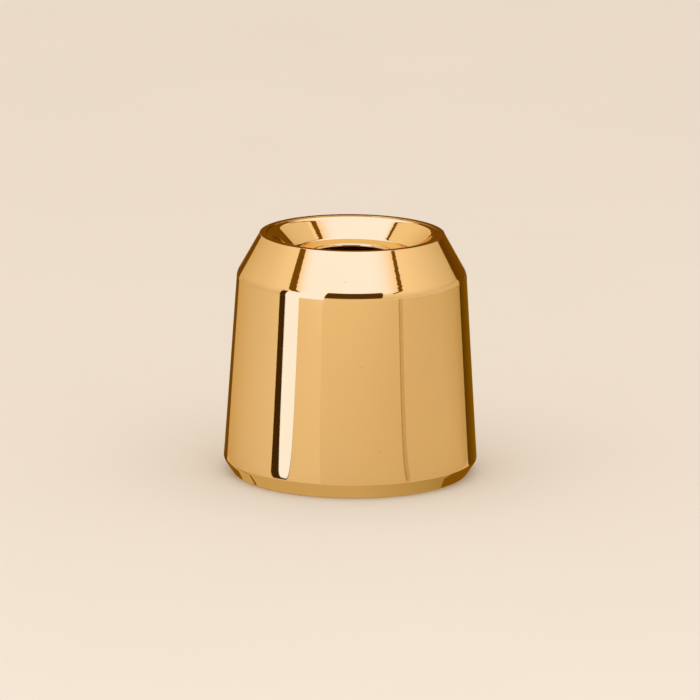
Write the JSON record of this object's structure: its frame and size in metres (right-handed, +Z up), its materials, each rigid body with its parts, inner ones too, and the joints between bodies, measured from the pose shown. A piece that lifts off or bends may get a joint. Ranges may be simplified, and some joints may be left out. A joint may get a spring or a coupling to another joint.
{
  "type": "candle follower",
  "caption": "Polished brass candle follower: a tapered double-walled cap with a shallow dished top and a flame throat, which sits on a candle and slides down as it burns.",
  "frame": {"origin": "centre of the foot, on the plane that the body stands on", "axes": "+Z up along the candle's axis, from the foot to the rim; X and Y are free, because the follower is round"},
  "size_m": [0.051, 0.051, 0.0488],
  "materials": {
    "polished_brass": "mirror polished and lacquered",
    "satin_brass": "drawn and turned, unpolished"
  },
  "bodies": {
    "root": {"body_shell": "polished_brass", "crown": "polished_brass", "flame_dish": "polished_brass", "seat_plate": "satin_brass", "candle_sleeve": "satin_brass", "foot_ring": "satin_brass"}
  },
  "joints": []
}
